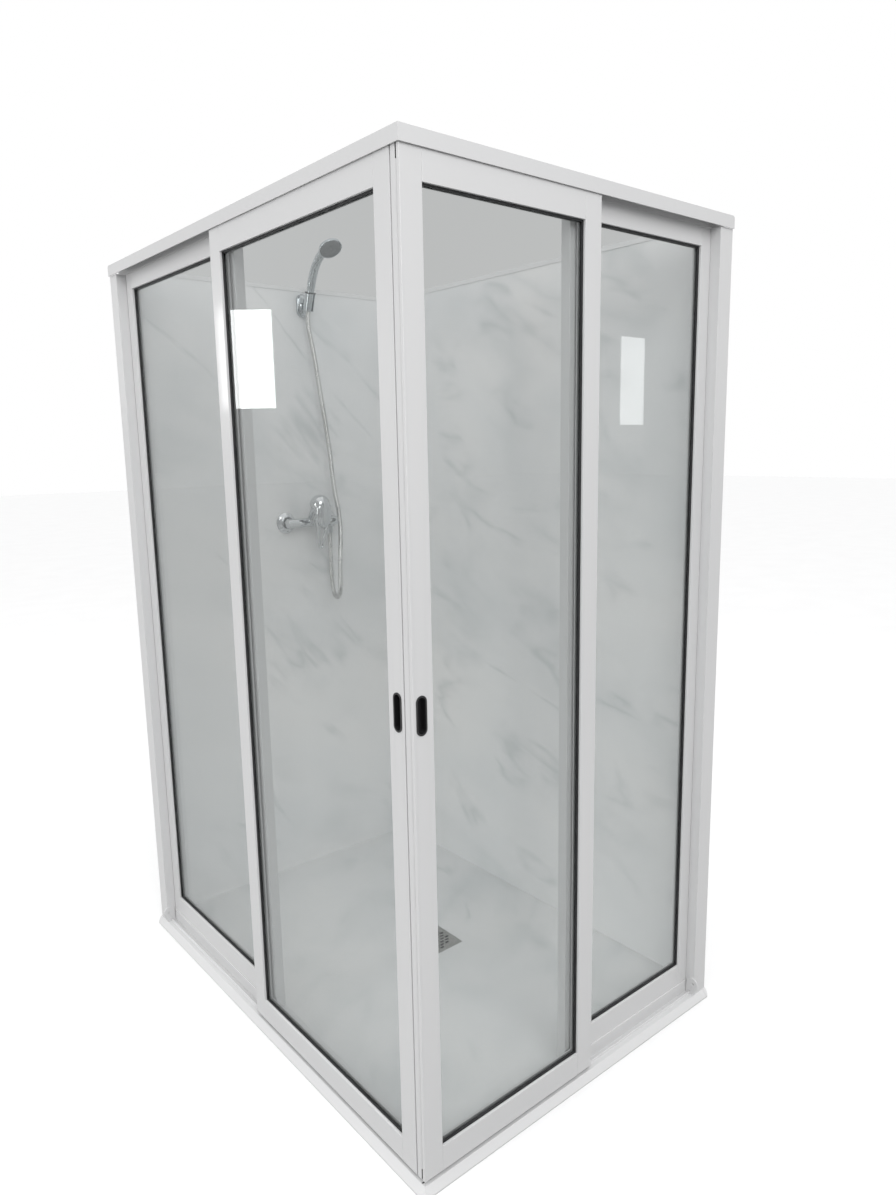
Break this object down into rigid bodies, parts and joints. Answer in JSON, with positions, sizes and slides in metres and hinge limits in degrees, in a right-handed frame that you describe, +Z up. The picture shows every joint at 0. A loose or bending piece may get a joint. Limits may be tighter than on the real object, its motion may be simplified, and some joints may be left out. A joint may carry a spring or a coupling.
{
  "type": "shower enclosure",
  "caption": "Rectangular corner-entry shower enclosure with framed sliding glass doors, fixed panes, back panels, a flat tray, a mixer and a hand shower on a flexible hose.",
  "frame": {"origin": "centre of the base of the bounding box, on the floor", "axes": "+X along the short glazed face, away from the front corner; +Y along the long glazed face, away from the front corner; +Z up"},
  "size_m": [0.914, 1.284, 1.9558],
  "materials": {
    "white_frame": "white gloss powder coat",
    "glass": "clear, faintly grey-green",
    "gasket": "matt black",
    "seal": "matt dark grey",
    "handle": "black, satin",
    "panel": "white-grey marble effect, satin gloss",
    "trim": "satin white",
    "steel": "brushed stainless steel",
    "chrome": "polished chrome on brass",
    "chrome_plastic": "polished chrome plating on plastic",
    "spray_face": "dark grey, matt",
    "hose": "ribbed chrome-effect hose",
    "grey_plastic": "moulded grey plastic",
    "nylon": "natural nylon"
  },
  "bodies": {
    "enclosure": {"sill_end_caps": "white_frame", "track_end_plates": "white_frame", "wall_panel_mixer": "panel", "wall_panel_side": "panel", "shower_tray": "panel", "panel_top_trims": "trim", "rear_corner_angle": "trim", "corner_cleats": "steel", "drain_grate": "steel", "waste_body": "grey_plastic", "mixer_body": "chrome", "mixer_unions": "chrome", "mixer_escutcheons": "chrome", "hose_mixer_nut": "chrome", "bracket_plate": "chrome_plastic", "shower_hose": "hose", "top_rail_left": "white_frame", "sill_left": "white_frame", "wall_profile_left": "white_frame", "fixed_left_stiles": "white_frame", "fixed_left_bars": "white_frame", "fixed_left_glass": "glass", "fixed_left_gasket": "gasket", "top_rail_right": "white_frame", "sill_right": "white_frame", "wall_profile_right": "white_frame", "fixed_right_stiles": "white_frame", "fixed_right_bars": "white_frame", "fixed_right_glass": "glass", "fixed_right_gasket": "gasket"},
    "door_left": {"door_left_lead_stile": "white_frame", "door_left_trail_stile": "white_frame", "door_left_top_bar": "white_frame", "door_left_bottom_bar": "white_frame", "door_left_glass": "glass", "door_left_gasket": "gasket", "door_left_handle": "handle", "door_left_magnet_seal": "seal", "door_left_top_guides": "grey_plastic", "door_left_roller_carriages": "grey_plastic"},
    "door_left_roller_front": {"door_left_roller_front": "nylon"},
    "door_left_roller_rear": {"door_left_roller_rear": "nylon"},
    "door_right": {"door_right_lead_stile": "white_frame", "door_right_trail_stile": "white_frame", "door_right_top_bar": "white_frame", "door_right_bottom_bar": "white_frame", "door_right_glass": "glass", "door_right_gasket": "gasket", "door_right_handle": "handle", "door_right_magnet_seal": "seal", "door_right_top_guides": "grey_plastic", "door_right_roller_carriages": "grey_plastic"},
    "door_right_roller_front": {"door_right_roller_front": "nylon"},
    "door_right_roller_rear": {"door_right_roller_rear": "nylon"},
    "mixer_turner": {"mixer_spindle": "chrome"},
    "mixer_lever": {"mixer_lever": "chrome"},
    "hand_shower_holder": {"bracket_cradle": "chrome_plastic", "hose_cone_nut": "chrome_plastic", "hand_shower": "chrome_plastic", "hand_shower_spray": "spray_face"}
  },
  "joints": [
    {"name": "door_left_slide", "type": "slide", "parent": "enclosure", "child": "door_left", "axis": [0, 1, 0], "range_m": [0, 0.545]},
    {"name": "door_right_slide", "type": "slide", "parent": "enclosure", "child": "door_right", "axis": [1, 0, 0], "range_m": [0, 0.382]},
    {"name": "door_left_roller_front_spin", "type": "hinge", "parent": "door_left", "child": "door_left_roller_front", "pos_m": [-0.432, -0.514, 0.03302], "axis": [1, 0, 0], "continuous": true},
    {"name": "door_left_roller_rear_spin", "type": "hinge", "parent": "door_left", "child": "door_left_roller_rear", "pos_m": [-0.432, -0.058, 0.03302], "axis": [1, 0, 0], "continuous": true},
    {"name": "door_right_roller_front_spin", "type": "hinge", "parent": "door_right", "child": "door_right_roller_front", "pos_m": [-0.354, -0.617, 0.03302], "axis": [0, 1, 0], "continuous": true},
    {"name": "door_right_roller_rear_spin", "type": "hinge", "parent": "door_right", "child": "door_right_roller_rear", "pos_m": [-0.065, -0.617, 0.03302], "axis": [0, 1, 0], "continuous": true},
    {"name": "mixer_turn", "type": "hinge", "parent": "enclosure", "child": "mixer_turner", "pos_m": [0.105, 0.53562, 1.2042], "axis": [0, -0.5878, 0.809], "range_deg": [-35, 25]},
    {"name": "mixer_lift", "type": "hinge", "parent": "mixer_turner", "child": "mixer_lever", "pos_m": [0.105, 0.53562, 1.2042], "axis": [-1, 0, 0], "range_deg": [0, 18]},
    {"name": "holder_tilt", "type": "hinge", "parent": "enclosure", "child": "hand_shower_holder", "pos_m": [0.119, 0.591, 1.81], "axis": [1, 0, 0], "range_deg": [-18, 0]}
  ],
  "couplings": [
    {"joint": "door_left_roller_front_spin", "follows": "door_left_slide", "rad_per_m": -100},
    {"joint": "door_left_roller_rear_spin", "follows": "door_left_slide", "rad_per_m": -100},
    {"joint": "door_right_roller_front_spin", "follows": "door_right_slide", "rad_per_m": 100},
    {"joint": "door_right_roller_rear_spin", "follows": "door_right_slide", "rad_per_m": 100}
  ]
}
